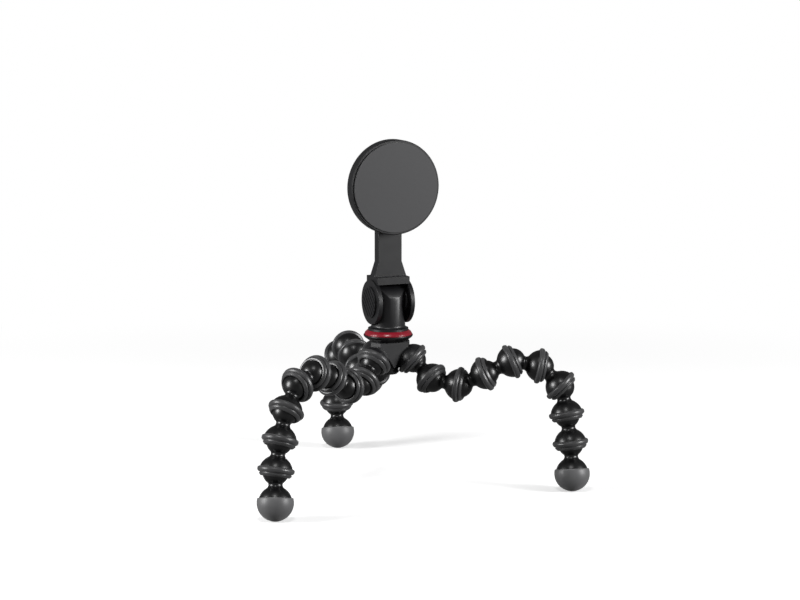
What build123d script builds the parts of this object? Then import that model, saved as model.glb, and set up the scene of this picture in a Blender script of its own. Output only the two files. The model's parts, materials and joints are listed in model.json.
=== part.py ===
from build123d import *
import os
from math import asin, cos, degrees, radians, sin, sqrt

# A flexible leg tripod with a tilting magnetic holder, in millimetres.
# +Z is up and the floor is at zero. The origin lies on the floor below the middle of the part's box.
# Each leg is a chain of ball joints: the ball of a link sits in the domed cup of the one before it.

# Links and feet
ball_radius = 7.6
ball_clearance = 0.06
cup_wall = 1.09
dome_step = 1.05
cup_mouth = 2.0
neck_radius = 4.1
neck_ball_radius = 4.4
neck_dome_radius = 5.0
neck_gap = 0.1
waist_share = 0.35

ring_height = 2.05
ring_top = 2.9
ring_width = 5.6
ring_clearance = 0.05
ring_lip_gap = 0.1

foot_wall = 0.9
foot_bevel = 0.5
foot_stud_gap = 0.25
foot_stud_height = 3.4
foot_stud_chamfer = 1.2

# Hub
socket_core_gap = 5.6
socket_slope = -43
hub_heading = 294
hub_rise = 12.1
facet_distance = 9.5
facet_half_width = 9.1
facet_drop = 4.1
facet_top_gap = 1.2
plate_depth = 5.0
hub_chamfer = 0.6
core_radius = 6.5
core_drop = 7.5
leg_room = 0.4
base_cap_inset = 0.7
base_cap_depth = 1.0
base_plug_depth = 1.2
base_cap_clearance = 0.1

# Stem, pan base and red ring
stem_radius = 10.3
flange_lip = 1.9
flange_height = 1.2
flange_chamfer = 1.2
flange_chamfer_height = 0.5
flare_height = 1.6
flare_turn_share = 0.3
flat_gap = 0.5
journal_step = 0.1
journal_clearance = 0.08
pan_washer_thickness = 0.5
base_rim = 2.3
base_taper = 2.6
base_lip = 0.6
base_height = 3.2
ring_grip_proud = 0.4
ring_grip_edge = 0.5
ring_grip_step = 0.3
ring_grip_height = 3.2

pan_screw_radius = 2.0
pan_screw_head_radius = 3.5
pan_screw_head_height = 2.4
hex_socket_share = 0.75
pan_screw_reach = 12.0
pan_bore_clearance = 0.08
thread_clearance = 0.05
spring_washer_radius = 4.2
spring_washer_thickness = 0.8

# Tilt hinge and fork
head_yaw = 24
ear_floor_gap = 2.1
ear_rim = 3.2
ear_thickness = 2.5
knuckle_flat_depth = 1.5
friction_disc_thickness = 0.4
friction_disc_radius = 7.5
hinge_clearance = 0.05
tilt_bolt_radius = 2.5
tilt_bolt_clearance = 0.06
tilt_head_radius = 4.3
tilt_head_height = 1.3
hinge_cap_inset = 4.0
hinge_cap_thickness = 1.0
hinge_cap_rib_height = 0.4
hinge_cap_rib_width = 0.8
hinge_cap_ribs = 6
bridge_gap = 0.8
bridge_thickness = 4.4
bridge_width = 16.6

# Arm and holder
arm_length = 70.0
arm_thickness = 6.6
arm_waist_width = 15.0
arm_head_radius = 12.5
arm_shoulder_height = 9.0
arm_pocket_depth = 3.6
arm_pocket_wall = 2.2
arm_pocket_corner_gap = 0.5
arm_cover_thickness = 1.4
arm_cover_clearance = 0.1
arm_screw_radius = 1.1
arm_screw_head_radius = 1.9
arm_screw_head_height = 1.1
arm_boss_radius = 2.8

puck_radius = 28.5
puck_depth = 6.2
puck_wall = 1.8
puck_floor = 1.8
puck_round = 1.4
puck_boss_wall = 1.3
puck_screw_edge = 5.0
puck_screw_count = 4
puck_screw_radius = 1.25
puck_screw_head_radius = 2.2
puck_screw_head_height = 1.2
puck_screw_reach = 4.2
shunt_thickness = 0.6
magnet_wall_gap = 0.7
magnet_width = 5.4
magnet_thickness = 2.4
magnet_count = 16
magnet_gap = 1.0
bezel_thickness = 1.8
bezel_lip = 1.6
bezel_chamfer = 0.5
pad_thickness = 1.4
pad_proud = 1.0
pad_clearance = 0.05
overrun = 1.0

# How each leg is posed: the heading of every link about the vertical and its slope above the horizontal,
# in degrees, from the hub to the foot. The right and rear legs' last slopes follow from the front leg.
leg_heading_slopes = {
    "front": [(-117, -33), (-119, 1), (-127, 25), (-123, 17), (-126, -17), (-122, -51),
              (-121, -69), (-119, -75), (-92, -76)],
    "right": [(-34, -38), (-15, -8), (-8, 26), (6, 24), (1, -11), (-7, -45),
              (-38, -77), (-34, -81), (-76, None)],
    "rear": [(107, -46), (104, -20), (103, 10), (106, 26), (104, 4), (111, -30),
             (109, -64), (86, -86), (-79, None)],
}
socket_headings = {"front": hub_heading - 60, "right": hub_heading + 60, "rear": hub_heading + 180}
link_count = len(leg_heading_slopes["front"]) - 1

# Ring outline from its seat to its tip, as shares of the ring's height and width
ring_shoulder_share = (0.30, 0.0)
ring_tip_shares = [(0.93, 0.20), (1.0, 0.28), (0.93, 0.37)]
ring_back_shares = [(0.56, 0.50), (0.27, 0.57), (0.27, 0.63), (0.34, 0.67), (0.25, 0.77), (-0.03, 0.90),
                    (-0.30, 1.0)]

# Sizes that follow
socket_radius = ball_radius + ball_clearance
seat_radius = socket_radius + cup_wall
dome_radius = seat_radius + dome_step
ring_bore_radius = seat_radius + ring_clearance
ring_radius = ring_bore_radius + ring_height
foot_radius = dome_radius + foot_wall
link_pitch = ball_radius + dome_radius + neck_gap
socket_reach = dome_radius + socket_core_gap


def direction(heading, slope):
    """Unit vector at a heading about the vertical and a slope above the horizontal, both in degrees."""
    level = cos(radians(slope))
    return Vector(level * cos(radians(heading)), level * sin(radians(heading)), sin(radians(slope)))


def leg_drop(pose):
    """Height that a leg loses from its first ball to its foot, in link lengths."""
    return -sum(sin(radians(slope)) for heading, slope in pose)


def leg_chain(name):
    """Ball centres of a leg, with the foot's centre last, and the direction of each link."""
    pose = leg_heading_slopes[name]
    if pose[-1][1] is None:
        rest = leg_drop(leg_heading_slopes["front"]) - leg_drop(pose[:-1])
        pose = pose[:-1] + [(pose[-1][0], -degrees(asin(rest)))]
    axes = [direction(heading, slope) for heading, slope in pose]
    points = [hub_centre + direction(socket_headings[name], 0) * socket_reach]
    for axis in axes:
        points.append(points[-1] + axis * link_pitch)
    return points, axes


def leg_box_middle():
    """Middle of the box that the link rings and feet fill, seen from above."""
    low = [0.0, 0.0]
    high = [0.0, 0.0]
    for name in leg_heading_slopes:
        points, axes = leg_chain(name)
        for i in (0, 1):
            for point, axis in zip(points[1:-1], axes):
                tip = tuple(point - axis * ring_tip_setback)[i]
                reach = ring_radius * sqrt(1 - tuple(axis)[i] ** 2)
                low[i] = min(low[i], tip - reach)
                high[i] = max(high[i], tip + reach)
            low[i] = min(low[i], tuple(points[-1])[i] - foot_radius)
            high[i] = max(high[i], tuple(points[-1])[i] + foot_radius)
    return Vector((low[0] + high[0]) / 2, (low[1] + high[1]) / 2, 0)


# The hub stands as high as the front leg reaches, and the box's middle comes to the origin
ring_tip_setback = ring_top - ring_tip_shares[1][1] * ring_width
hub_centre = Vector(0, 0, foot_radius + link_pitch * leg_drop(leg_heading_slopes["front"]))
hub_centre = hub_centre - leg_box_middle()
legs = {name: leg_chain(name) for name in leg_heading_slopes}

hub_top = hub_centre.Z + hub_rise
base_top = hub_top + base_height
flange_radius = stem_radius + flange_lip
flange_bottom = base_top + ring_grip_height
flange_top = flange_bottom + flange_height + flange_chamfer_height
journal_radius = stem_radius - journal_step
base_top_radius = flange_radius + base_rim
base_foot_radius = base_top_radius - base_taper
ear_radius = stem_radius + ear_rim
tilt_height = flange_top + ear_floor_gap + ear_radius
knuckle_half_width = stem_radius - knuckle_flat_depth
ear_inner = knuckle_half_width + friction_disc_thickness + 2 * hinge_clearance
ear_outer = ear_inner + ear_thickness
hinge_cap_radius = ear_radius - hinge_cap_inset
front_way = Vector(sin(radians(head_yaw)), -cos(radians(head_yaw)), 0)
side_way = Vector(cos(radians(head_yaw)), sin(radians(head_yaw)), 0)
tilt_centre = Vector(hub_centre.X, hub_centre.Y, tilt_height)
bridge_bottom = stem_radius + bridge_gap
puck_back = arm_thickness / 2
puck_front = puck_back + puck_depth
puck_screw_circle_radius = arm_head_radius - puck_screw_edge
puck_boss_radius = puck_screw_circle_radius + puck_screw_head_radius + puck_boss_wall
magnet_outer_radius = puck_radius - puck_wall - magnet_wall_gap
magnet_inner_radius = magnet_outer_radius - magnet_width


def axis_plane(point, axis):
    """Sketch plane through a link's axis, with the ball at its origin and the axis along its Y."""
    side = axis.cross(Vector(0, 0, 1)).normalized()
    return Plane(origin=point, x_dir=axis.cross(side), z_dir=side)


def upright_plane(height):
    """Sketch plane through the hub's upright axis, with Y up from a height."""
    return Plane(origin=(hub_centre.X, hub_centre.Y, height), x_dir=(1, 0, 0), z_dir=(0, -1, 0))


def level_plane(height):
    """Sketch plane square to the hub's upright axis at a height."""
    return Plane(origin=(hub_centre.X, hub_centre.Y, height), x_dir=(1, 0, 0), z_dir=(0, 0, 1))


def hinge_plane(offset):
    """Sketch plane square to the tilt axis, X forwards and Y up, so far towards the head's left."""
    return Plane(origin=tilt_centre - side_way * offset, x_dir=front_way, z_dir=side_way * -1)


def face_plane(offset):
    """Sketch plane facing forwards, X to the right and Y up, so far ahead of the tilt axis."""
    return Plane(origin=tilt_centre + front_way * offset, x_dir=side_way, z_dir=front_way)


def ring_point(share):
    """Point of the ring's outline from its pair of shares, about the centre of the ball that it holds."""
    return (ring_bore_radius + share[0] * ring_height, share[1] * ring_width - ring_top)


def draw_link():
    """Outline of ball, waisted neck and domed cup on one side of a link's axis, from the ball's centre."""
    ball_end = sqrt(ball_radius**2 - neck_ball_radius**2)
    dome_start = link_pitch - sqrt(dome_radius**2 - neck_dome_radius**2)
    waist = ball_end + waist_share * (dome_start - ball_end)
    shoulder = link_pitch - ring_top
    mouth = link_pitch + cup_mouth
    mouth_radius = sqrt(socket_radius**2 - cup_mouth**2)
    ball_angle = degrees(asin(ball_end / ball_radius))
    dome_low = degrees(asin((dome_start - link_pitch) / dome_radius))
    dome_high = degrees(asin(-ring_top / dome_radius))
    mouth_angle = degrees(asin(cup_mouth / socket_radius))
    ball = CenterArc((0, 0), ball_radius, -90, 90 + ball_angle)
    dome = CenterArc((0, link_pitch), dome_radius, dome_low, dome_high - dome_low)
    ThreePointArc(ball @ 1, (neck_radius, waist), dome @ 0)
    socket = CenterArc((0, link_pitch), socket_radius, mouth_angle, -90 - mouth_angle)
    Polyline(dome @ 1, (seat_radius, shoulder), (seat_radius, mouth), (mouth_radius, mouth))
    Line(socket @ 1, ball @ 0)


def draw_ring(centre):
    """Outline of the soft ring round a cup's mouth, its ball centre so far along the axis."""
    def at(share):
        x, y = ring_point(share)
        return (x, y + centre)
    lip_radius = ball_radius + ring_lip_gap
    lip = centre + cup_mouth + ring_clearance
    tip = ThreePointArc(*[at(share) for share in ring_tip_shares])
    end = (lip_radius, ring_width - ring_top + centre)
    start = (ring_bore_radius, centre - ring_top + ring_clearance)
    shoulder = (at(ring_shoulder_share)[0], start[1])
    Polyline(tip @ 1, *[at(share) for share in ring_back_shares], end, (lip_radius, lip),
             (ring_bore_radius, lip), start, shoulder, tip @ 0)


def draw_foot_cap():
    """Outline of the soft cap that closes the last cup, with the stud that fills its socket."""
    top = link_pitch - ring_top + ring_clearance
    rim = top + foot_bevel
    lip = link_pitch + cup_mouth + ring_clearance
    stud = sqrt(socket_radius**2 - cup_mouth**2) - foot_stud_gap
    stud_top = link_pitch + cup_mouth - foot_stud_height
    rim_angle = degrees(asin((rim - link_pitch) / foot_radius))
    ball = CenterArc((0, link_pitch), foot_radius, rim_angle, 90 - rim_angle)
    bevel_radius = sqrt(dome_radius**2 - ring_top**2)
    Polyline(ball @ 1, (0, stud_top), (stud - foot_stud_chamfer, stud_top),
             (stud, stud_top + foot_stud_chamfer), (stud, lip), (ring_bore_radius, lip),
             (ring_bore_radius, top), (bevel_radius, top), ball @ 0)


def save(part, name):
    """Label a finished piece and write its file."""
    part.label = name
    export_step(part, f"parts/{name}.step")


os.makedirs("parts", exist_ok=True)

# Eight links a leg: each is one moulding and the soft ring pushed over its cup
for leg, (points, axes) in legs.items():
    for i in range(link_count):
        plane = axis_plane(points[i], axes[i])
        with BuildPart() as link:
            with BuildSketch(plane):
                with BuildLine():
                    draw_link()
                make_face()
            revolve(axis=Axis(plane.origin, plane.y_dir))
            with BuildSketch(plane):
                with BuildLine():
                    draw_ring(link_pitch)
                make_face()
            revolve(axis=Axis(plane.origin, plane.y_dir))
        save(link.part, f"{leg}_link_{i + 1}")

# The last link of each leg carries a soft foot cap in place of a ring
for leg, (points, axes) in legs.items():
    plane = axis_plane(points[link_count], axes[link_count])
    with BuildPart() as foot_link:
        with BuildSketch(plane):
            with BuildLine():
                draw_link()
            make_face()
        revolve(axis=Axis(plane.origin, plane.y_dir))
    save(foot_link.part, f"{leg}_foot_link")
    with BuildPart() as foot_cap:
        with BuildSketch(plane):
            with BuildLine():
                draw_foot_cap()
            make_face()
        revolve(axis=Axis(plane.origin, plane.y_dir))
    save(foot_cap.part, f"{leg}_foot_cap")

# Hub: a plate with three flat facets between three domed sockets, round a core with the pan bore
socket_planes = {}
for leg, (points, axes) in legs.items():
    socket_planes[leg] = axis_plane(points[0], direction(socket_headings[leg], socket_slope))
facet_headings = [hub_heading, hub_heading + 120, hub_heading + 240]
core_bottom = hub_centre.Z - core_drop
pan_bore_radius = pan_screw_radius + pan_bore_clearance
head_room = pan_screw_head_height + spring_washer_thickness
counterbore_radius = spring_washer_radius + base_cap_clearance
counterbore_depth = head_room + base_plug_depth + base_cap_clearance
with BuildPart() as hub_body:
    with BuildSketch(level_plane(hub_top - plate_depth)):
        with BuildLine():
            corners = []
            for heading in facet_headings:
                out = direction(heading, 0) * facet_distance
                along = direction(heading + 90, 0) * facet_half_width
                corners += [tuple(out - along)[:2], tuple(out + along)[:2]]
            Polyline(*corners, close=True)
        make_face()
    extrude(amount=plate_depth)
    chamfer(hub_body.faces().sort_by(Axis.Z)[-1].edges(), hub_chamfer)
    for heading in facet_headings:
        out = direction(heading, 0)
        across = direction(heading + 90, 0)
        with BuildSketch(Plane(origin=hub_centre, x_dir=across, z_dir=out)):
            with BuildLine():
                shield_top = hub_rise - facet_top_gap
                Polyline((-facet_half_width, shield_top), (0, -facet_drop), (facet_half_width, shield_top),
                         close=True)
            make_face()
        extrude(amount=facet_distance)
    with BuildSketch(level_plane(core_bottom)):
        Circle(core_radius)
    extrude(amount=core_drop + hub_rise - plate_depth)
    for plane in socket_planes.values():
        with Locations(plane.location):
            Sphere(dome_radius)
    for plane in socket_planes.values():
        with BuildSketch(plane):
            with BuildLine():
                room_radius = ring_radius + leg_room
                far_end = ring_width + dome_radius
                Polyline((0, -ring_top), (room_radius, -ring_top), (room_radius, far_end), (0, far_end),
                         close=True)
            make_face()
        revolve(axis=Axis(plane.origin, plane.y_dir), mode=Mode.SUBTRACT)
        with BuildSketch(plane):
            with BuildLine():
                Polyline((0, -ring_top), (seat_radius, -ring_top), (seat_radius, cup_mouth), (0, cup_mouth),
                         close=True)
            make_face()
        revolve(axis=Axis(plane.origin, plane.y_dir))
    for plane in socket_planes.values():
        with Locations(plane.location):
            Sphere(socket_radius, mode=Mode.SUBTRACT)
    with BuildSketch(level_plane(core_bottom)):
        Circle(pan_bore_radius)
    extrude(amount=core_drop + hub_rise, mode=Mode.SUBTRACT)
    with BuildSketch(level_plane(core_bottom)):
        Circle(counterbore_radius)
    extrude(amount=counterbore_depth, mode=Mode.SUBTRACT)
save(hub_body.part, "hub_body")

for leg, plane in socket_planes.items():
    with BuildPart() as hub_ring:
        with BuildSketch(plane):
            with BuildLine():
                draw_ring(0)
            make_face()
        revolve(axis=Axis(plane.origin, plane.y_dir))
    save(hub_ring.part, f"hub_ring_{leg}")

with BuildPart() as hub_base_cap:
    with BuildSketch(level_plane(core_bottom - base_cap_depth)):
        Circle(core_radius - base_cap_inset)
    extrude(amount=base_cap_depth)
    chamfer(hub_base_cap.faces().sort_by(Axis.Z)[0].edges(), base_cap_depth / 2)
    with BuildSketch(level_plane(core_bottom)):
        Circle(spring_washer_radius)
    extrude(amount=base_plug_depth)
save(hub_base_cap.part, "hub_base_cap")

# Pan screw: up through the hub and the base into the stem
screw_seat = core_bottom + counterbore_depth - spring_washer_thickness
with BuildPart() as pan_washer:
    with BuildSketch(level_plane(screw_seat)):
        Circle(spring_washer_radius)
        Circle(pan_bore_radius, mode=Mode.SUBTRACT)
    extrude(amount=spring_washer_thickness)
save(pan_washer.part, "pan_spring_washer")

screw_top = base_top + pan_screw_reach
with BuildPart() as pan_screw:
    with BuildSketch(level_plane(screw_seat - pan_screw_head_height)):
        Circle(pan_screw_head_radius)
    extrude(amount=pan_screw_head_height)
    with BuildSketch(level_plane(screw_seat - pan_screw_head_height)):
        RegularPolygon(pan_screw_radius * hex_socket_share, 6)
    extrude(amount=pan_screw_head_height / 2, mode=Mode.SUBTRACT)
    with BuildSketch(level_plane(screw_seat)):
        Circle(pan_screw_radius)
    extrude(amount=screw_top - screw_seat)
save(pan_screw.part, "pan_screw")

# Base that stays on the hub, and the grip ring that turns round the stem's journal
with BuildPart() as pan_base:
    with BuildSketch(upright_plane(hub_top)):
        with BuildLine():
            Polyline((pan_bore_radius, 0), (base_foot_radius, 0), (base_top_radius, base_height - base_lip),
                     (base_top_radius, base_height), (pan_bore_radius, base_height), close=True)
        make_face()
    revolve(axis=Axis((hub_centre.X, hub_centre.Y, 0), (0, 0, 1)))
save(pan_base.part, "pan_base")

with BuildPart() as pan_friction_washer:
    with BuildSketch(level_plane(base_top)):
        Circle(journal_radius)
        Circle(pan_bore_radius, mode=Mode.SUBTRACT)
    extrude(amount=pan_washer_thickness)
save(pan_friction_washer.part, "pan_friction_washer")

grip_bore_radius = journal_radius + journal_clearance
with BuildPart() as lock_ring:
    with BuildSketch(upright_plane(base_top)):
        with BuildLine():
            edge = ring_grip_edge
            top = ring_grip_height - hinge_clearance
            outer = ThreePointArc((base_top_radius, hinge_clearance),
                                  (base_top_radius + ring_grip_proud, edge), (base_top_radius, 2 * edge))
            crown = RadiusArc(outer @ 1, (flange_radius + ring_grip_step, top), -flange_radius)
            Polyline(crown @ 1, (grip_bore_radius, top), (grip_bore_radius, hinge_clearance), outer @ 0)
        make_face()
    revolve(axis=Axis((hub_centre.X, hub_centre.Y, 0), (0, 0, 1)))
save(lock_ring.part, "lock_ring")

# Stem: a journal, a flange and an upright post whose flattened top is the tilt knuckle
journal_bottom = base_top + pan_washer_thickness
flat_start = tilt_height - ear_radius - flat_gap
with BuildPart() as stem:
    with BuildSketch(upright_plane(0)):
        with BuildLine():
            flare_step = flange_lip - flange_chamfer
            flare = ThreePointArc((stem_radius + flare_step, flange_top),
                                  (stem_radius + flare_step * flare_turn_share,
                                   flange_top + flare_height * flare_turn_share),
                                  (stem_radius, flange_top + flare_height))
            Polyline(flare @ 1, (stem_radius, tilt_height + stem_radius), (0, tilt_height + stem_radius),
                     (0, journal_bottom), (journal_radius, journal_bottom), (journal_radius, flange_bottom),
                     (flange_radius, flange_bottom), (flange_radius, flange_bottom + flange_height),
                     flare @ 0)
        make_face()
    revolve(axis=Axis((hub_centre.X, hub_centre.Y, 0), (0, 0, 1)))
    with BuildSketch(hinge_plane(-stem_radius)):
        with Locations((0, stem_radius / 2 + overrun / 2)):
            Rectangle(2 * stem_radius + overrun, stem_radius + overrun)
        Circle(stem_radius, mode=Mode.SUBTRACT)
    extrude(amount=2 * stem_radius, mode=Mode.SUBTRACT)
    for side in (-1, 1):
        with BuildSketch(hinge_plane(side * knuckle_half_width)):
            with Locations((0, (stem_radius + flat_start - tilt_height) / 2 + overrun)):
                Rectangle(2 * stem_radius + overrun, tilt_height + stem_radius - flat_start + 2 * overrun)
            Circle(ear_radius + flat_gap, mode=Mode.INTERSECT)
        extrude(amount=side * stem_radius, mode=Mode.SUBTRACT)
    with BuildSketch(hinge_plane(-stem_radius)):
        Circle(tilt_bolt_radius + tilt_bolt_clearance)
    extrude(amount=2 * stem_radius, mode=Mode.SUBTRACT)
    with BuildSketch(level_plane(journal_bottom)):
        Circle(pan_screw_radius + thread_clearance)
    extrude(amount=screw_top + thread_clearance - journal_bottom, mode=Mode.SUBTRACT)
save(stem.part, "stem")

# Tilt hinge: bolt and nut through both ears, with a friction disc each side of the knuckle
head_seat = ear_outer - tilt_head_height
with BuildPart() as tilt_bolt:
    with BuildSketch(hinge_plane(head_seat)):
        Circle(tilt_head_radius)
    extrude(amount=tilt_head_height)
    with BuildSketch(hinge_plane(-head_seat)):
        Circle(tilt_bolt_radius)
    extrude(amount=2 * head_seat)
save(tilt_bolt.part, "tilt_bolt")

with BuildPart() as tilt_nut:
    with BuildSketch(hinge_plane(-head_seat)):
        RegularPolygon(tilt_head_radius - thread_clearance, 6)
        Circle(tilt_bolt_radius + thread_clearance, mode=Mode.SUBTRACT)
    extrude(amount=-tilt_head_height)
save(tilt_nut.part, "tilt_nut")

with BuildPart() as friction_discs:
    for side in (-1, 1):
        with BuildSketch(hinge_plane(side * (knuckle_half_width + hinge_clearance))):
            Circle(friction_disc_radius)
            Circle(tilt_bolt_radius + tilt_bolt_clearance, mode=Mode.SUBTRACT)
        extrude(amount=side * friction_disc_thickness)
save(friction_discs.part, "tilt_friction_discs")

# Fork and arm: two ears, the bridge over the knuckle, and the arm up to the holder
arm_foot = bridge_bottom + bridge_thickness
arm_shoulder_half = ear_inner + ear_thickness / 2
pocket_bottom = arm_foot + arm_pocket_wall
pocket_half_width = arm_waist_width / 2 - arm_pocket_wall
pocket_corner = pocket_half_width - arm_pocket_corner_gap
pocket_top = arm_length - arm_head_radius - arm_pocket_wall
cover_screw_inset = arm_boss_radius + arm_pocket_wall
cover_screw_places = [(0, pocket_bottom + cover_screw_inset), (0, pocket_top - cover_screw_inset)]
with BuildPart() as fork_arm:
    for side in (-1, 1):
        with BuildSketch(hinge_plane(side * ear_inner)):
            Circle(ear_radius)
        extrude(amount=side * ear_thickness)
    with BuildSketch(hinge_plane(-arm_shoulder_half)):
        with Locations((0, bridge_bottom + bridge_thickness / 2)):
            Rectangle(bridge_width, bridge_thickness)
    extrude(amount=2 * arm_shoulder_half)
    with BuildSketch(face_plane(-arm_thickness / 2)):
        with BuildLine():
            waist_half = arm_waist_width / 2
            low = arm_foot - bridge_thickness / 2
            high = arm_foot + arm_shoulder_height
            Polyline((-arm_shoulder_half, low), (-arm_shoulder_half, arm_foot), (-waist_half, high),
                     (-waist_half, arm_length), (waist_half, arm_length), (waist_half, high),
                     (arm_shoulder_half, arm_foot), (arm_shoulder_half, low), close=True)
        make_face()
        with Locations((0, arm_length)):
            Circle(arm_head_radius)
    extrude(amount=arm_thickness)
    with BuildSketch(hinge_plane(-ear_outer)):
        Circle(tilt_bolt_radius + thread_clearance)
    extrude(amount=2 * ear_outer, mode=Mode.SUBTRACT)
    with BuildSketch(hinge_plane(head_seat)):
        Circle(tilt_head_radius + thread_clearance)
    extrude(amount=tilt_head_height, mode=Mode.SUBTRACT)
    with BuildSketch(hinge_plane(-head_seat)):
        RegularPolygon(tilt_head_radius + thread_clearance, 6)
    extrude(amount=-tilt_head_height, mode=Mode.SUBTRACT)
    with BuildSketch(face_plane(-arm_thickness / 2)):
        with Locations((0, (pocket_bottom + pocket_top) / 2)):
            RectangleRounded(2 * pocket_half_width, pocket_top - pocket_bottom, pocket_corner)
    extrude(amount=arm_pocket_depth, mode=Mode.SUBTRACT)
    with BuildSketch(face_plane(-arm_thickness / 2 + arm_cover_thickness + arm_cover_clearance)):
        with Locations(*cover_screw_places):
            Circle(arm_boss_radius)
            Circle(arm_screw_radius + thread_clearance, mode=Mode.SUBTRACT)
    extrude(amount=arm_pocket_depth - arm_cover_thickness - arm_cover_clearance)
    with BuildSketch(face_plane(arm_thickness / 2)):
        with Locations((0, arm_length)):
            with PolarLocations(puck_screw_circle_radius, puck_screw_count, 45):
                Circle(puck_screw_radius + thread_clearance)
    extrude(amount=-puck_screw_reach, mode=Mode.SUBTRACT)
save(fork_arm.part, "fork_arm")

for name, side in (("left", 1), ("right", -1)):
    with BuildPart() as hinge_cap:
        with BuildSketch(hinge_plane(side * (ear_outer + thread_clearance))):
            Circle(hinge_cap_radius)
        extrude(amount=side * hinge_cap_thickness)
        with BuildSketch(hinge_plane(side * (ear_outer + thread_clearance + hinge_cap_thickness))):
            with Locations(Rotation(0, 0, 45)):
                with GridLocations(2 * hinge_cap_radius / (hinge_cap_ribs + 1), 0, hinge_cap_ribs, 1):
                    Rectangle(hinge_cap_rib_width, 2 * hinge_cap_radius)
            Circle(hinge_cap_radius - hinge_cap_rib_width, mode=Mode.INTERSECT)
        extrude(amount=side * hinge_cap_rib_height)
    save(hinge_cap.part, f"hinge_cap_{name}")

cover_half_width = pocket_half_width - arm_cover_clearance
with BuildPart() as arm_cover:
    with BuildSketch(face_plane(-arm_thickness / 2)):
        with Locations((0, (pocket_bottom + pocket_top) / 2)):
            RectangleRounded(2 * cover_half_width, pocket_top - pocket_bottom - 2 * arm_cover_clearance,
                             cover_half_width - arm_pocket_corner_gap)
    extrude(amount=arm_cover_thickness)
    with BuildSketch(face_plane(-arm_thickness / 2)):
        with Locations(*cover_screw_places):
            Circle(arm_screw_radius + thread_clearance)
    extrude(amount=arm_cover_thickness, mode=Mode.SUBTRACT)
save(arm_cover.part, "arm_cover")

with BuildPart() as arm_cover_screws:
    with BuildSketch(face_plane(-arm_thickness / 2 - arm_screw_head_height)):
        with Locations(*cover_screw_places):
            Circle(arm_screw_head_radius)
    extrude(amount=arm_screw_head_height)
    with BuildSketch(face_plane(-arm_thickness / 2)):
        with Locations(*cover_screw_places):
            Circle(arm_screw_radius)
    extrude(amount=arm_pocket_depth)
save(arm_cover_screws.part, "arm_cover_screws")

# Holder: a round back shell screwed to the arm, a ring of magnets on its steel ring, a bezel and a soft pad
with BuildPart() as holder_back:
    with BuildSketch(face_plane(puck_back)):
        with Locations((0, arm_length)):
            Circle(puck_radius)
    extrude(amount=puck_depth)
    fillet(holder_back.faces().sort_by(Axis(tilt_centre, front_way))[0].edges(), puck_round)
    with BuildSketch(face_plane(puck_back + puck_floor)):
        with Locations((0, arm_length)):
            Circle(puck_radius - puck_wall)
            Circle(puck_boss_radius, mode=Mode.SUBTRACT)
    extrude(amount=puck_depth, mode=Mode.SUBTRACT)
    with BuildSketch(face_plane(puck_front)):
        with Locations((0, arm_length)):
            with PolarLocations(puck_screw_circle_radius, puck_screw_count, 45):
                Circle(puck_screw_head_radius + thread_clearance)
    extrude(amount=-puck_depth + puck_floor, mode=Mode.SUBTRACT)
    with BuildSketch(face_plane(puck_back)):
        with Locations((0, arm_length)):
            with PolarLocations(puck_screw_circle_radius, puck_screw_count, 45):
                Circle(puck_screw_radius + thread_clearance)
    extrude(amount=puck_floor, mode=Mode.SUBTRACT)
save(holder_back.part, "holder_back")

with BuildPart() as holder_screws:
    with BuildSketch(face_plane(puck_back + puck_floor)):
        with Locations((0, arm_length)):
            with PolarLocations(puck_screw_circle_radius, puck_screw_count, 45):
                Circle(puck_screw_head_radius)
    extrude(amount=puck_screw_head_height)
    with BuildSketch(face_plane(puck_back + puck_floor)):
        with Locations((0, arm_length)):
            with PolarLocations(puck_screw_circle_radius, puck_screw_count, 45):
                Circle(puck_screw_radius)
    extrude(amount=-puck_floor - puck_screw_reach + thread_clearance)
save(holder_screws.part, "holder_screws")

with BuildPart() as shunt_ring:
    with BuildSketch(face_plane(puck_back + puck_floor)):
        with Locations((0, arm_length)):
            Circle(magnet_outer_radius)
            Circle(magnet_inner_radius, mode=Mode.SUBTRACT)
    extrude(amount=shunt_thickness)
save(shunt_ring.part, "steel_ring")

with BuildPart() as magnets:
    with BuildSketch(face_plane(puck_back + puck_floor + shunt_thickness)):
        with Locations((0, arm_length)):
            Circle(magnet_outer_radius)
            Circle(magnet_inner_radius, mode=Mode.SUBTRACT)
            with PolarLocations((magnet_outer_radius + magnet_inner_radius) / 2, magnet_count):
                Rectangle(2 * (magnet_outer_radius - magnet_inner_radius), magnet_gap, mode=Mode.SUBTRACT)
    extrude(amount=magnet_thickness)
save(magnets.part, "holder_magnets")

pad_radius = puck_radius - bezel_lip
with BuildPart() as bezel:
    with BuildSketch(face_plane(puck_front)):
        with Locations((0, arm_length)):
            Circle(puck_radius)
    extrude(amount=bezel_thickness)
    with BuildSketch(face_plane(puck_front + bezel_thickness + pad_proud - pad_thickness)):
        with Locations((0, arm_length)):
            Circle(pad_radius)
    extrude(amount=pad_thickness, mode=Mode.SUBTRACT)
    chamfer(bezel.faces().sort_by(Axis(tilt_centre, front_way))[-1].edges().sort_by(SortBy.LENGTH)[-1:],
            bezel_chamfer)
save(bezel.part, "holder_bezel")

with BuildPart() as face_pad:
    with BuildSketch(face_plane(puck_front + bezel_thickness + pad_proud - pad_thickness)):
        with Locations((0, arm_length)):
            Circle(pad_radius - pad_clearance)
    extrude(amount=pad_thickness)
save(face_pad.part, "face_pad")
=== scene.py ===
"""Dresses the flexible leg tripod: glossy ball and cup links, soft rings and feet, satin hub and tilting holder.

Every shape is in metres in the frame of the CAD model. A leg's links are surfaces of revolution about the line from
one ball's centre to the next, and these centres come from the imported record's joints.
"""

import json
import logging
import math
from dataclasses import dataclass, field
from enum import Enum

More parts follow.
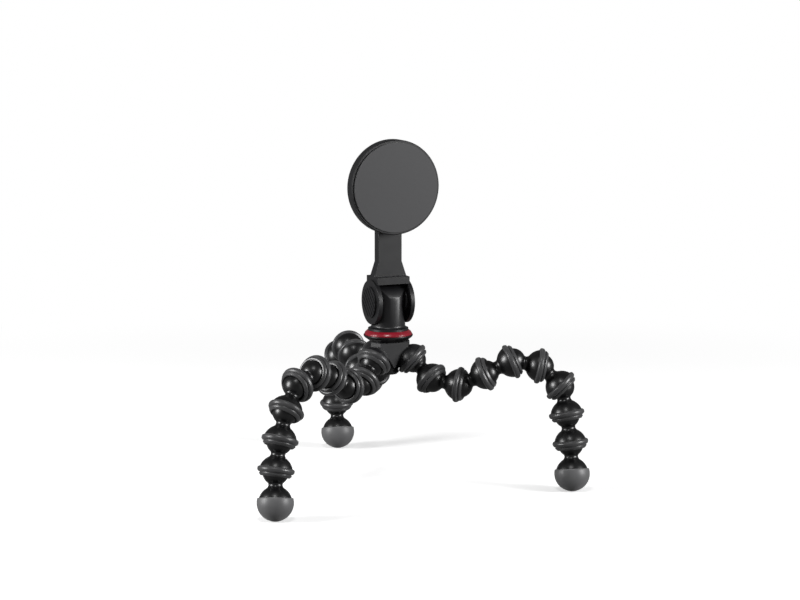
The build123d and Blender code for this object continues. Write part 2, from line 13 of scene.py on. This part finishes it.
import bmesh
import bpy
import numpy as np
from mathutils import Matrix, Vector


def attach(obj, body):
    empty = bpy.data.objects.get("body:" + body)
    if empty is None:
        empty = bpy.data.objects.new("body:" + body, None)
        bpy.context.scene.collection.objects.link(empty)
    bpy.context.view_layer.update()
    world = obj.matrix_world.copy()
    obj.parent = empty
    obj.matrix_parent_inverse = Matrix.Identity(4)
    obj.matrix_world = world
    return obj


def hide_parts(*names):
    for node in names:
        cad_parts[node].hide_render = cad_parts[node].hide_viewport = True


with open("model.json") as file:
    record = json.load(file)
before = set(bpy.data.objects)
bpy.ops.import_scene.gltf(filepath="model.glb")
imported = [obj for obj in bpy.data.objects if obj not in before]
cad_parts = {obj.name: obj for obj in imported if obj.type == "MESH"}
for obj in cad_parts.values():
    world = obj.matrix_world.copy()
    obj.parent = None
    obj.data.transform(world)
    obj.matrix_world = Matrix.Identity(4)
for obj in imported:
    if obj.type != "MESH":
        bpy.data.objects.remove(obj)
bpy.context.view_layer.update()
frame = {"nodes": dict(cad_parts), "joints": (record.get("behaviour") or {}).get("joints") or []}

LOG = logging.getLogger("tripod")
MM = 0.001
MERGE = 1e-6
ON_AXIS = 1e-6
NEAR_VERTICAL = 0.99
LONGEST_CUT = 0.48
FLAT_ANGLE = 0.4
BEVEL_STEPS = 3


# Meshes

def unit(vector: np.ndarray) -> np.ndarray:
    """Vector of length one along the given vector."""
    return vector / np.linalg.norm(vector)


def direction(heading: float, slope: float) -> np.ndarray:
    """Unit vector from a heading about the vertical and a slope above the horizontal.

    Args:
        heading: degrees from +X towards +Y.
        slope: degrees above the horizontal.

    Returns:
        The direction as three numbers.
    """
    turn, rise = math.radians(heading), math.radians(slope)
    return np.array([math.cos(rise) * math.cos(turn), math.cos(rise) * math.sin(turn), math.sin(rise)])


@dataclass(frozen=True)
class Spot:
    """A place and the direction of its axis, in metres: a surface of revolution stands here."""

    origin: np.ndarray
    axis: np.ndarray

    def sides(self) -> tuple[np.ndarray, np.ndarray]:
        """Two unit vectors square to the axis and to each other, right-handed with it."""
        upright = abs(self.axis[2]) >= NEAR_VERTICAL
        helper = np.array([1.0, 0.0, 0.0]) if upright else np.array([0.0, 0.0, 1.0])
        first = unit(np.cross(helper, self.axis))
        return first, np.cross(self.axis, first)


def rounded(corners: list[tuple[float, float, float]], steps: int = 6) -> np.ndarray:
    """Polyline with rounded corners: each corner gives way to an arc tangent to both its sides.

    The arc's points are the quadratic blend (1-t)^2 a + 2t(1-t) c + t^2 b between the tangent points a and b of
    corner c, which lies within a few hundredths of the true arc at these angles.

    Args:
        corners: radius from the axis, height along it and corner radius, in millimetres.
        steps: points along each arc, less one.

    Returns:
        Array of radius and height, in millimetres.
    """
    points = np.array([c[:2] for c in corners], float)
    out = [points[0]]
    t = np.linspace(0, 1, steps + 1)[:, None]
    for before, here, after, (_, _, radius) in zip(points, points[1:], points[2:], corners[1:-1]):
        if radius <= 0:
            out.append(here)
            continue
        back, ahead = before - here, after - here
        back_length, ahead_length = np.linalg.norm(back), np.linalg.norm(ahead)
        turn = math.acos(np.clip(back @ ahead / back_length / ahead_length, -1, 1))
        cut = min(radius / math.tan(turn / 2), back_length * LONGEST_CUT, ahead_length * LONGEST_CUT)
        start, end = here + back / back_length * cut, here + ahead / ahead_length * cut
        out.extend((1 - t) ** 2 * start + 2 * t * (1 - t) * here + t ** 2 * end)
    out.append(points[-1])
    return np.array(out)


def arc(radius: float, centre: float, start: float, end: float, steps: int = 24) -> np.ndarray:
    """Points on a circle about a point of the axis: radius cos(a) out and centre + radius sin(a) along.

    Args:
        radius: the circle's radius in millimetres.
        centre: height of its centre along the axis in millimetres.
        start: first angle in degrees from the outward direction.
        end: last angle in degrees.
        steps: points less one.

    Returns:
        Array of radius and height, in millimetres.
    """
    angles = np.radians(np.linspace(start, end, steps + 1))
    return np.stack([radius * np.cos(angles), centre + radius * np.sin(angles)], axis=1)


def revolve(profile: np.ndarray, spot: Spot, segments: int) -> tuple[np.ndarray, list[list[int]]]:
    """Surface of revolution: every profile point (r, h) goes to origin + h axis + r (cos u first + sin u second).

    A profile that starts and ends on the axis gives a closed ball-like shell with one vertex at each pole, and any
    other profile is taken as a closed loop and gives a ring.

    Args:
        profile: radius and height in millimetres, its interior on the left of its way.
        spot: where the axis stands.
        segments: steps round the axis.

    Returns:
        Vertices in metres, and faces as lists of vertex numbers.
    """
    first, second = spot.sides()
    turn = np.linspace(0, 2 * math.pi, segments, endpoint=False)
    around = np.cos(turn)[:, None] * first + np.sin(turn)[:, None] * second
    poled = profile[0, 0] < ON_AXIS and profile[-1, 0] < ON_AXIS
    rows = profile[1:-1] if poled else profile
    grid = (spot.origin + MM * (rows[:, 1, None, None] * spot.axis + rows[:, 0, None, None] * around)).reshape(-1, 3)
    count = len(rows)
    i, j = np.meshgrid(np.arange(count - 1 if poled else count), np.arange(segments), indexing="ij")
    i2, j2 = (i + 1) % count, (j + 1) % segments
    quads = np.stack([i * segments + j, i * segments + j2, i2 * segments + j2, i2 * segments + j], axis=-1)
    faces = quads.reshape(-1, 4).tolist()
    if poled:
        ends = spot.origin + MM * profile[[0, -1], 1][:, None] * spot.axis
        low, high = len(grid), len(grid) + 1
        grid = np.vstack([grid, ends])
        step = np.arange(segments)
        after = (step + 1) % segments
        last = (count - 1) * segments
        faces += np.stack([np.full(segments, low), after, step], axis=1).tolist()
        faces += np.stack([np.full(segments, high), last + step, last + after], axis=1).tolist()
    return grid, faces


def outward(vertices: np.ndarray, faces: list[list[int]]) -> list[list[int]]:
    """Faces turned so that the closed mesh's signed volume, a sum of tetrahedra, is positive."""
    fan = np.array([[f[0], f[k], f[k + 1]] for f in faces for k in range(1, len(f) - 1)])
    a, b, c = (vertices[fan[:, k]] - vertices.mean(axis=0) for k in range(3))
    if np.einsum("ij,ij->", a, np.cross(b, c)) < 0:
        return [f[::-1] for f in faces]
    return faces


def piece(name: str, vertices: np.ndarray, faces: list[list[int]], material: bpy.types.Material, body: str,
          slot: str, sharp: float = 40.0) -> bpy.types.Object:
    """Makes a mesh object at the world's origin, shades it smooth up to an angle, and rides it on a body.

    Args:
        name: the piece's name.
        vertices: points in metres.
        faces: lists of vertex numbers.
        material: its finish.
        body: the CAD body that it moves with.
        slot: the record's material slot; not used.
        sharp: edges steeper than this many degrees stay sharp.

    Returns:
        The object.
    """
    mesh = bpy.data.meshes.new(name)
    mesh.from_pydata(vertices.tolist(), [], outward(vertices, faces))
    mesh.polygons.foreach_set("use_smooth", np.ones(len(mesh.polygons), bool))
    mesh.set_sharp_from_angle(angle=math.radians(sharp))
    mesh.materials.append(material)
    made = bpy.data.objects.new(name, mesh)
    bpy.context.scene.collection.objects.link(made)
    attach(made, body)
    LOG.info("%s on %s: %d faces", name, body, len(mesh.polygons))
    return made


# Materials

def linear(colour: str, alpha: float = 1.0) -> tuple[float, float, float, float]:
    """sRGB hex colour as linear red, green, blue and alpha."""
    parts = [int(colour[i:i + 2], 16) / 255 for i in (1, 3, 5)]
    return (*[c / 12.92 if c <= 0.04045 else ((c + 0.055) / 1.055) ** 2.4 for c in parts], alpha)


def add_node(tree: bpy.types.NodeTree, kind: str, settings: dict | None = None, values: dict | None = None,
             links: dict | None = None) -> bpy.types.Node:
    """Adds a shader node, sets its properties and input values, and links other nodes' outputs to its inputs.

    Args:
        tree: the material's node tree.
        kind: the node's type name.
        settings: property names and values.
        values: input names or numbers, and their values.
        links: input names or numbers, and the (node, output name or number) that feeds each.

    Returns:
        The node.
    """
    node = tree.nodes.new(kind)
    for key, value in (settings or {}).items():
        setattr(node, key, value)
    for key, value in (values or {}).items():
        node.inputs[key].default_value = value
    for key, (source, output) in (links or {}).items():
        tree.links.new(source.outputs[output], node.inputs[key])
    return node


@dataclass(frozen=True)
class Grain:
    """A fine raised texture: the size of one grain, how deep it is, and how strongly its bump shows."""

    size_mm: float
    depth_mm: float
    strength: float = 0.5


@dataclass(frozen=True)
class Finish:
    """A surface finish: base colour, its slight variation, gloss, clear top layer and grain."""

    name: str
    colour: str
    variation: str
    roughness: float
    roughness_spread: float
    grain: Grain
    mottle_mm: float = 6.0
    metallic: float = 0.0
    ior: float = 1.5
    coat: float = 0.0
    coat_roughness: float = 0.05
    sheen: float = 0.0
    anisotropic: float = 0.0

    def build(self) -> bpy.types.Material:
        """Makes the node material: colour and gloss vary with a soft mottle, and the grain is a bump.

        Returns:
            The material.
        """
        material = bpy.data.materials.new(self.name)
        material.use_nodes = True
        tree = material.node_tree
        tree.nodes.clear()
        place = add_node(tree, "ShaderNodeTexCoord")
        mottle = add_node(tree, "ShaderNodeTexNoise",
                          values={"Scale": 1 / (self.mottle_mm * MM), "Detail": 3.0, "Roughness": 0.55},
                          links={"Vector": (place, "Object")})
        grain = add_node(tree, "ShaderNodeTexNoise",
                         values={"Scale": 1 / (self.grain.size_mm * MM), "Detail": 2.0, "Roughness": 0.6},
                         links={"Vector": (place, "Object")})
        colour = add_node(tree, "ShaderNodeMix", {"data_type": "RGBA"},
                          {6: linear(self.colour), 7: linear(self.variation)}, {0: (mottle, "Fac")})
        rough = add_node(tree, "ShaderNodeMapRange",
                         values={"To Min": self.roughness - self.roughness_spread,
                                 "To Max": self.roughness + self.roughness_spread}, links={"Value": (mottle, "Fac")})
        bump = add_node(tree, "ShaderNodeBump", values={"Strength": self.grain.strength,
                                                        "Distance": self.grain.depth_mm * MM},
                        links={"Height": (grain, "Fac")})
        shader = add_node(tree, "ShaderNodeBsdfPrincipled",
                          values={"Metallic": self.metallic, "IOR": self.ior, "Coat Weight": self.coat,
                                  "Coat Roughness": self.coat_roughness, "Sheen Weight": self.sheen,
                                  "Anisotropic": self.anisotropic},
                          links={"Base Color": (colour, 2), "Roughness": (rough, "Result"),
                                 "Normal": (bump, "Normal")})
        add_node(tree, "ShaderNodeOutputMaterial", links={"Surface": (shader, "BSDF")})
        return material


class Palette:
    """The tripod's finishes, one material each."""

    def __init__(self) -> None:
        """Builds every material once."""
        # ABS moulded in a polished tool: near black, with soft highlights and a faint ripple
        self.gloss_abs = Finish("polished_black_abs", "#060607", "#0a0a0b", 0.34, 0.03, Grain(1.6, 0.006, 0.15),
                                mottle_mm=9.0, ior=1.53).build()
        # Moulded thermoplastic rubber: dark grey, with a wide soft highlight along its lips
        self.ring_rubber = Finish("moulded_grey_rubber", "#353536", "#404041", 0.36, 0.05, Grain(0.3, 0.008, 0.25),
                                  ior=1.52, sheen=0.08).build()
        # Foot rubber, softer than the rings: mid grey, dull, a little brighter towards its outline
        self.foot_rubber = Finish("soft_foot_rubber", "#555556", "#606061", 0.46, 0.05, Grain(0.4, 0.04, 0.6),
                                  ior=1.48, sheen=0.15).build()
        # Hub in fine sparked nylon: near black, with a broad, even sheen on its flat facets
        self.hub_satin = Finish("satin_hub_nylon", "#111113", "#18181a", 0.42, 0.04, Grain(0.3, 0.015, 0.4),
                                ior=1.52).build()
        # Red dyed, clear lacquered ring: deep crimson under a soft gloss
        self.red_gloss = Finish("lacquered_red_ring", "#7c081c", "#8a0c22", 0.3, 0.03, Grain(2.0, 0.004, 0.1),
                                ior=1.5, coat=0.5, coat_roughness=0.26).build()
        # Head moulding in satin nylon: black with a low, even sheen
        self.satin_black = Finish("satin_black_nylon", "#101012", "#161618", 0.4, 0.04, Grain(0.3, 0.02, 0.4),
                                  ior=1.5).build()
        # Zinc plated turned steel: bright grey metal, its highlights drawn out
        self.steel = Finish("zinc_plated_steel", "#a8a9ac", "#b6b7ba", 0.28, 0.05, Grain(0.25, 0.01, 0.3),
                            metallic=1.0, anisotropic=0.4).build()
        # Nickel plated magnets: a warm mirror
        self.nickel = Finish("nickel_plated_magnet", "#bab5ac", "#c4bfb5", 0.16, 0.04, Grain(0.8, 0.008, 0.2),
                             metallic=1.0).build()
        # Graphite filled nylon washers: dark and waxy
        self.nylon = Finish("graphite_filled_nylon", "#3a3a3c", "#444446", 0.45, 0.05, Grain(0.4, 0.01, 0.3)).build()
        # Silicone face pad: dark grey, dull, with a fine skin texture
        self.silicone = Finish("silicone_face_pad", "#2c2c2e", "#343436", 0.55, 0.05, Grain(0.45, 0.04, 0.6),
                               sheen=0.2).build()


class Slot(Enum):
    """The record's material slots."""

    BLACK = "black_plastic"
    SATIN = "satin_black"
    GREY = "grey_plastic"
    RED = "red_plastic"
    RUBBER = "grey_rubber"
    NYLON = "nylon"
    STEEL = "steel"
    NICKEL = "magnet_nickel"


# Sub-assemblies

@dataclass
class LinkShape:
    """Profiles of one link about its axis, in millimetres from its own ball's centre."""

    ball_radius: float = 7.6
    socket_radius: float = 7.66
    seat_radius: float = 8.75
    dome_radius: float = 9.8
    pitch: float = 17.5
    neck_ball_radius: float = 4.4
    neck_radius: float = 4.1
    neck_dome_radius: float = 5.0
    neck_inset: float = 0.25
    waist_share: float = 0.35
    mouth: float = 2.0
    ring_top: float = 2.9
    foot_radius: float = 10.7
    foot_bore: float = 8.8
    foot_mouth: float = 9.35
    foot_seam: float = 0.05
    rim_rise: float = 0.5
    rim_inset: float = 0.15
    rim_height: float = 0.12
    rim_bevel: float = 0.2
    stud_radius: float = 7.1
    stud_tip_radius: float = 5.9
    stud_top: float = 2.05
    stud_step: float = 0.2
    stud_tip: float = 1.4
    segments: int = 72
    neck_steps: int = 14
    dome_steps: int = 26
    socket_steps: int = 20
    ball_steps: int = 40
    corner_steps: int = 5
    rim_steps: int = 4

    def ball(self) -> np.ndarray:
        """Full sphere about the link's own ball centre."""
        return arc(self.ball_radius, 0.0, -90, 90, self.ball_steps)

    def moulding(self) -> np.ndarray:
        """Neck and domed cup: from inside the ball up the waisted neck, over the dome and into the socket.

        The waist is the parabola through the neck's two ends and its narrowest point.

        Returns:
            Array of radius and height, in millimetres.
        """
        low = math.sqrt(self.ball_radius ** 2 - self.neck_ball_radius ** 2)
        high = self.pitch - math.sqrt(self.dome_radius ** 2 - self.neck_dome_radius ** 2)
        waist = low + self.waist_share * (high - low)
        neck_heights = np.linspace(low - self.neck_inset, high, self.neck_steps)
        fit = np.polyfit([low, waist, high], [self.neck_ball_radius, self.neck_radius, self.neck_dome_radius], 2)
        neck = np.stack([np.polyval(fit, neck_heights), neck_heights], axis=1)
        start = -math.degrees(math.acos(self.neck_dome_radius / self.dome_radius))
        end = -math.degrees(math.asin(self.ring_top / self.dome_radius))
        dome = arc(self.dome_radius, self.pitch, start, end, self.dome_steps)
        mouth_radius = math.sqrt(self.socket_radius ** 2 - self.mouth ** 2)
        seat = np.array([(self.seat_radius, self.pitch - self.ring_top), (self.seat_radius, self.pitch + self.mouth),
                         (mouth_radius, self.pitch + self.mouth)])
        lip = math.degrees(math.asin(self.mouth / self.socket_radius))
        socket = arc(self.socket_radius, self.pitch, lip, -90, self.socket_steps)
        return np.vstack([[(0.0, low - self.neck_inset)], neck, dome[1:], seat, socket[1:]])

    def ring(self, centre: float) -> np.ndarray:
        """Soft ring: sloping shoulder, full round tip, fine groove, second lip and inner edge.

        Args:
            centre: height of the cup's ball centre along the axis, in millimetres.

        Returns:
            Closed loop of radius and height, in millimetres.
        """
        corners = [(9.1, -2.85, 0.0), (9.42, -2.85, 0.25), (10.6, -2.3, 0.8), (10.85, -1.3, 0.9), (10.6, -0.2, 0.8),
                   (9.8, 0.5, 0.35), (9.2, 0.6, 0.12), (9.2, 1.0, 0.12), (9.6, 1.2, 0.2), (9.35, 1.75, 0.3),
                   (8.5, 2.7, 0.3), (7.7, 2.7, 0.2), (7.7, 2.06, 0.0), (8.8, 2.06, 0.0), (8.8, -2.85, 0.0)]
        profile = rounded(corners, self.corner_steps)
        profile[:, 1] += centre
        return profile

    def foot_cap(self) -> np.ndarray:
        """Soft foot: bevelled rim, short skirt and a hemisphere that stands on the floor, closed by a stud inside."""
        top = self.pitch - self.ring_top + self.foot_seam
        rim_angle = math.degrees(math.asin((top + self.rim_rise - self.pitch) / self.foot_radius))
        shell = arc(self.foot_radius, self.pitch, 90, rim_angle, self.ball_steps)
        edge, edge_height = (float(v) for v in shell[-1])
        rim = rounded([(edge, edge_height, 0.0), (edge - self.rim_inset, top + self.rim_height, self.rim_bevel),
                       (self.foot_mouth, top, 0.0)], self.rim_steps)
        shoulder, step, tip = self.pitch + self.stud_top, self.pitch - self.stud_step, self.pitch - self.stud_tip
        inside = np.array([(self.foot_bore, top), (self.foot_bore, shoulder), (self.stud_radius, shoulder),
                           (self.stud_radius, step), (self.stud_tip_radius, tip), (0.0, tip)])
        return np.vstack([shell, rim[1:], inside])[::-1]


@dataclass
class Leg:
    """One leg: eight links with soft rings, and a last link with a soft foot cap."""

    name: str
    foot_heading: float
    palette: Palette
    shape: LinkShape = field(default_factory=LinkShape)

    def spots(self) -> list[Spot]:
        """Each link's ball centre and the direction to the next, from the record's joints.

        Returns:
            Nine spots, the foot link's last. The foot's direction follows from its cap standing on the floor.
        """
        places = {j["name"]: np.array(j["pos_m"], float) for j in frame["joints"]}
        centres = [places[f"{self.name}_ball_{i}"] for i in range(1, 10)]
        found = [Spot(a, unit(b - a)) for a, b in zip(centres, centres[1:])]
        drop = (centres[-1][2] / MM - self.shape.foot_radius) / self.shape.pitch
        slope = -math.degrees(math.asin(min(drop, 1.0)))
        return found + [Spot(centres[-1], direction(self.foot_heading, slope))]

    def build(self) -> None:
        """Makes the leg's links and foot and rides each on its own body."""
        shape, palette = self.shape, self.palette
        spots = self.spots()
        for number, spot in enumerate(spots, 1):
            last = number == len(spots)
            label = f"{self.name}_foot" if last else f"{self.name}_{number}"
            node = f"{self.name}_foot_link" if last else f"{self.name}_link_{number}"
            moulding = piece(f"{label}_cup", *revolve(shape.moulding(), spot, shape.segments), palette.gloss_abs,
                             label, Slot.BLACK.value)
            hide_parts(node)
            piece(f"{label}_ball", *revolve(shape.ball(), spot, shape.segments), palette.gloss_abs, label,
                  Slot.BLACK.value)
            if last:
                cap = piece(f"{label}_cap", *revolve(shape.foot_cap(), spot, shape.segments), palette.foot_rubber,
                            label, Slot.RUBBER.value)
                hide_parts(f"{self.name}_foot_cap")
            else:
                piece(f"{label}_ring", *revolve(shape.ring(shape.pitch), spot, shape.segments), palette.ring_rubber,
                      label, Slot.RUBBER.value)


@dataclass
class Hub:
    """The hub: its three socket rings here, and its body as the CAD has it."""

    palette: Palette
    heading: float = 294.0
    socket_slope: float = -43.0
    shape: LinkShape = field(default_factory=LinkShape)

    def build(self) -> None:
        """Makes the rings round the hub's sockets and finishes the CAD nodes."""
        places = {j["name"]: np.array(j["pos_m"], float) for j in frame["joints"]}
        for name, turn in (("front", -60.0), ("right", 60.0), ("rear", 180.0)):
            axis = direction(self.heading + turn, self.socket_slope)
            spot = Spot(places[f"{name}_ball_1"], axis)
            ring = piece(f"hub_{name}_ring", *revolve(self.shape.ring(0.0), spot, self.shape.segments),
                         self.palette.ring_rubber, "hub", Slot.RUBBER.value)
            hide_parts(f"hub_ring_{name}")
        softened("hub_body", "hub_casting", self.palette.hub_satin, "hub", 0.35)
        dress("hub_base_cap", self.palette.satin_black)


def softened(node: str, name: str, material: bpy.types.Material, body: str, width_mm: float,
             angle: float = 28.0) -> bpy.types.Object:
    """Copies a CAD node's mesh, merges its loose triangles, and rounds its sharp edges as a mould would.

    Args:
        node: the CAD node, which the copy replaces.
        name: the new piece's name.
        material: its finish.
        body: the CAD body that it moves with.
        width_mm: width of the rounding.
        angle: edges steeper than this many degrees are rounded.

    Returns:
        The object.
    """
    mesh = frame["nodes"][node].data.copy()
    mesh.name = name
    mesh.materials.clear()
    mesh.materials.append(material)
    work = bmesh.new()
    work.from_mesh(mesh)
    bmesh.ops.remove_doubles(work, verts=work.verts, dist=MERGE)
    bmesh.ops.dissolve_limit(work, angle_limit=math.radians(FLAT_ANGLE), verts=work.verts, edges=work.edges,
                             use_dissolve_boundaries=False)
    work.to_mesh(mesh)
    work.free()
    if "custom_normal" in mesh.attributes:
        mesh.attributes.remove(mesh.attributes["custom_normal"])
    mesh.polygons.foreach_set("use_smooth", np.ones(len(mesh.polygons), bool))
    made = bpy.data.objects.new(name, mesh)
    bpy.context.scene.collection.objects.link(made)
    bevel = made.modifiers.new("rounded_edges", "BEVEL")
    bevel.width = width_mm * MM
    bevel.segments = BEVEL_STEPS
    bevel.limit_method = "ANGLE"
    bevel.angle_limit = math.radians(angle)
    bevel.use_clamp_overlap = True
    bevel.harden_normals = True
    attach(made, body)
    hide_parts(node)
    LOG.info("%s rounded from %s", name, node)
    return made


def dress(node: str, material: bpy.types.Material) -> None:
    """Gives a CAD node a finish in place of the one that it came with."""
    mesh = frame["nodes"][node].data
    mesh.materials.clear()
    mesh.materials.append(material)


@dataclass
class Head:
    """Stem, red ring, tilt fork, arm and holder."""

    palette: Palette
    segments: int = 144

    def turned(self) -> None:
        """Makes the pan base, whose lip stands up round the red ring, and the red ring with its bent crown.

        Both profiles are radius and height from the pan joint, which lies on the base's top, in millimetres.
        """
        places = {j["name"]: np.array(j["pos_m"], float) for j in frame["joints"]}
        spot = Spot(places["head_pan"], np.array([0.0, 0.0, 1.0]))
        base = [(2.1, -3.2, 0.0), (11.6, -3.2, 0.3), (12.3, -2.6, 0.4), (14.2, -1.25, 0.6), (14.9, -0.35, 0.4),
                (14.9, 0.45, 0.25), (14.55, 0.45, 0.1), (14.5, 0.0, 0.1), (2.1, 0.0, 0.0)]
        ring = [(10.28, 0.08, 0.0), (14.35, 0.08, 0.3), (14.42, 1.05, 0.5), (13.85, 2.05, 0.6), (12.6, 3.15, 0.45),
                (10.28, 3.15, 0.0)]
        made = piece("pan_base_moulding", *revolve(rounded(base), spot, self.segments), self.palette.gloss_abs, "hub",
                     Slot.SATIN.value)
        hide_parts("pan_base")
        made = piece("red_ring", *revolve(rounded(ring), spot, self.segments), self.palette.red_gloss, "lock_ring",
                     Slot.RED.value)
        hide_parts("lock_ring")

    def build(self) -> None:
        """Makes the turned pieces and finishes the head's CAD nodes."""
        self.turned()
        p = self.palette
        finishes = {
            "pan_screw": p.steel, "pan_spring_washer": p.steel,
            "pan_friction_washer": p.nylon, "tilt_bolt": p.steel, "tilt_nut": p.steel,
            "tilt_friction_discs": p.nylon, "hinge_cap_left": p.satin_black, "hinge_cap_right": p.satin_black,
            "arm_cover": p.satin_black, "arm_cover_screws": p.steel, "holder_back": p.satin_black,
            "holder_screws": p.steel, "steel_ring": p.steel, "holder_magnets": p.nickel,
            "holder_bezel": p.satin_black, "face_pad": p.silicone,
        }
        for node, material in finishes.items():
            dress(node, material)
        softened("stem", "stem_moulding", p.satin_black, "head", 0.3)
        softened("fork_arm", "fork_moulding", p.satin_black, "holder", 0.5)


# Studio

@dataclass
class Lamp:
    """A soft rectangular studio lamp that faces a point of the tripod."""

    name: str
    place: tuple[float, float, float]
    size: tuple[float, float]
    power: float
    target: tuple[float, float, float] = (0.0, 0.0, 0.09)

    def build(self) -> None:
        """Adds the lamp and turns it to its target."""
        light = bpy.data.lights.new(self.name, "AREA")
        light.shape = "RECTANGLE"
        light.size, light.size_y = self.size
        light.energy = self.power
        lamp = bpy.data.objects.new(self.name, light)
        bpy.context.scene.collection.objects.link(lamp)
        way = Vector(self.target) - Vector(self.place)
        lamp.location = self.place
        lamp.rotation_mode = "QUATERNION"
        lamp.rotation_quaternion = way.to_track_quat("-Z", "Y")


@dataclass
class Studio:
    """White studio: pale floor, soft lamps, and the camera where the photograph was taken from."""

    camera_place: tuple[float, float, float] = (-0.0161, -1.6087, 0.3449)
    camera_pitch: float = 0.1437
    lens_mm: float = 120.7
    sensor_mm: float = 36.0
    clip_near: float = 0.05
    clip_far: float = 50.0
    floor_half: float = 6.0
    shadow_near: float = 0.3
    shadow_far: float = 0.7
    floor_lit_share: float = 0.95
    floor_glow: float = 0.44
    floor_paint: str = "#6c6c6c"
    glossy_share: float = 0.07
    fill_light: float = 0.06

    def background_share(self, tree: bpy.types.NodeTree, path: bpy.types.Node) -> bpy.types.Node:
        """Node that is 1 where the camera sees the background, also through glass, and a share of it in reflections.

        Args:
            tree: the node tree that it is added to.
            path: the tree's light path node.

        Returns:
            The node, with the share as its first output.
        """
        seen = add_node(tree, "ShaderNodeMath", {"operation": "MAXIMUM"},
                        links={0: (path, "Is Camera Ray"), 1: (path, "Is Transmission Ray")})
        mirrored = add_node(tree, "ShaderNodeMath", {"operation": "MULTIPLY"}, {1: self.glossy_share},
                            {0: (path, "Is Glossy Ray")})
        return add_node(tree, "ShaderNodeMath", {"operation": "MAXIMUM"}, links={0: (seen, 0), 1: (mirrored, 0)})

    def floor(self) -> None:
        """A flat floor that the camera sees as white but for the tripod's faint shadow.

        Near the tripod the camera sees emission plus a lit part that shadows can dim, and the two add up to white.
        The lit part fades out with distance, so that the floor's far end shows no edge.
        """
        h = self.floor_half
        mesh = bpy.data.meshes.new("studio_floor")
        mesh.from_pydata([(-h, -h, 0), (h, -h, 0), (h, h, 0), (-h, h, 0)], [], [(0, 1, 2, 3)])
        material = bpy.data.materials.new("white_floor")
        material.use_nodes = True
        tree = material.node_tree
        tree.nodes.clear()
        place = add_node(tree, "ShaderNodeTexCoord")
        reach = add_node(tree, "ShaderNodeVectorMath", {"operation": "LENGTH"}, links={0: (place, "Object")})
        near = add_node(tree, "ShaderNodeMapRange", {"interpolation_type": "SMOOTHSTEP"},
                        values={"From Min": self.shadow_near, "From Max": self.shadow_far, "To Min": 1.0,
                                "To Max": 0.0}, links={"Value": (reach, "Value")})
        lit = add_node(tree, "ShaderNodeMath", {"operation": "MULTIPLY"}, {1: self.floor_lit_share},
                       {0: (near, "Result")})
        glow = add_node(tree, "ShaderNodeMapRange", values={"To Min": 1.0, "To Max": self.floor_glow},
                        links={"Value": (near, "Result")})
        path = add_node(tree, "ShaderNodeLightPath")
        seen = self.background_share(tree, path)
        paint = add_node(tree, "ShaderNodeBsdfDiffuse", values={"Color": linear(self.floor_paint)})
        shade = add_node(tree, "ShaderNodeBsdfDiffuse", links={"Color": (lit, 0)})
        light = add_node(tree, "ShaderNodeEmission", values={"Color": (1, 1, 1, 1)},
                         links={"Strength": (glow, "Result")})
        both = add_node(tree, "ShaderNodeAddShader", links={0: (shade, 0), 1: (light, 0)})
        mix = add_node(tree, "ShaderNodeMixShader", links={0: (seen, 0), 1: (paint, 0), 2: (both, 0)})
        add_node(tree, "ShaderNodeOutputMaterial", links={"Surface": (mix, 0)})
        mesh.materials.append(material)
        made = bpy.data.objects.new("studio_floor", mesh)
        bpy.context.scene.collection.objects.link(made)

    def world(self) -> None:
        """Low even light from all round, seen as white by the camera."""
        world = bpy.data.worlds.new("studio")
        bpy.context.scene.world = world
        world.use_nodes = True
        tree = world.node_tree
        tree.nodes.clear()
        path = add_node(tree, "ShaderNodeLightPath")
        seen = self.background_share(tree, path)
        level = add_node(tree, "ShaderNodeMapRange", values={"To Min": self.fill_light, "To Max": 1.0},
                         links={"Value": (seen, 0)})
        sky = add_node(tree, "ShaderNodeBackground", values={"Color": (1, 1, 1, 1)},
                       links={"Strength": (level, "Result")})
        add_node(tree, "ShaderNodeOutputWorld", links={"Surface": (sky, 0)})

    def camera(self) -> None:
        """Camera at the photograph's place, its pitch below the horizontal."""
        data = bpy.data.cameras.new("camera")
        data.lens, data.sensor_width = self.lens_mm, self.sensor_mm
        data.clip_start, data.clip_end = self.clip_near, self.clip_far
        camera = bpy.data.objects.new("camera", data)
        bpy.context.scene.collection.objects.link(camera)
        camera.location = self.camera_place
        camera.rotation_euler = (math.pi / 2 - self.camera_pitch, 0, 0)
        bpy.context.scene.camera = camera

    def build(self) -> None:
        """Sets up floor, world, camera and lamps."""
        bpy.context.scene.view_settings.view_transform = "Standard"
        self.floor()
        self.world()
        self.camera()
        for lamp in (Lamp("softbox_left", (-1.28, -0.42, 0.42), (0.44, 0.56), 22.0),
                     Lamp("softbox_right", (1.26, -0.5, 0.42), (0.44, 0.56), 22.0),
                     Lamp("top_front", (-0.1, -0.75, 1.05), (0.14, 0.14), 3.0)):
            lamp.build()


def main() -> None:
    """Builds every sub-assembly in order, then the studio."""
    logging.basicConfig(level=logging.INFO, format="%(name)s %(message)s")
    palette = Palette()
    Studio().build()
    for name, heading in (("front", -92.0), ("right", -76.0), ("rear", -79.0)):
        Leg(name, heading, palette).build()
    Hub(palette).build()
    Head(palette).build()


if __name__ == "__main__":
    main()
